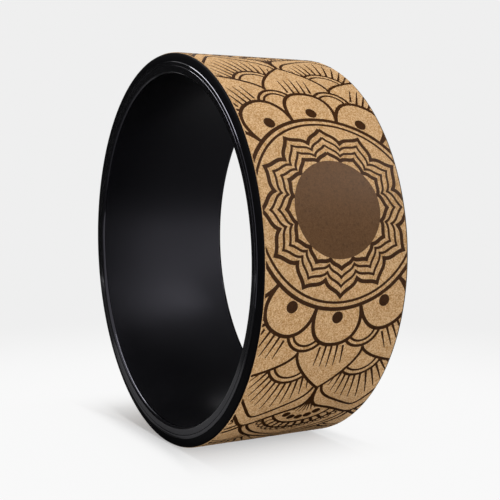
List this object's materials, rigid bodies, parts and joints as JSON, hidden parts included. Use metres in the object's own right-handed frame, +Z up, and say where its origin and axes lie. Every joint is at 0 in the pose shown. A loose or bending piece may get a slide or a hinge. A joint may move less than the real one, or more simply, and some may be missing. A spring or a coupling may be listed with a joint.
{
  "type": "yoga wheel",
  "caption": "Wide ring for back bends and balance work: a black plastic tube with glossy end rings, a foam cushion and a printed cork tread, open through the middle.",
  "frame": {"origin": "centre of the wheel, on its axis and midway between the front faces of the two end rings", "axes": "+Y along the wheel's axis, from the end that faces the camera to the far end; +Z up as the wheel stands on its tread"},
  "size_m": [0.33, 0.13, 0.33],
  "materials": {
    "satin_black_plastic": "satin",
    "gloss_black_plastic": "gloss",
    "adhesive_film": "matte",
    "cushion_foam": "matte",
    "printed_cork": "matte"
  },
  "bodies": {
    "root": {"core_tube": "satin_black_plastic", "left_rim_ring": "gloss_black_plastic", "right_rim_ring": "gloss_black_plastic", "core_adhesive_film": "adhesive_film", "cushion_layer": "cushion_foam", "cover_adhesive_film": "adhesive_film", "cork_cover": "printed_cork"}
  },
  "joints": []
}
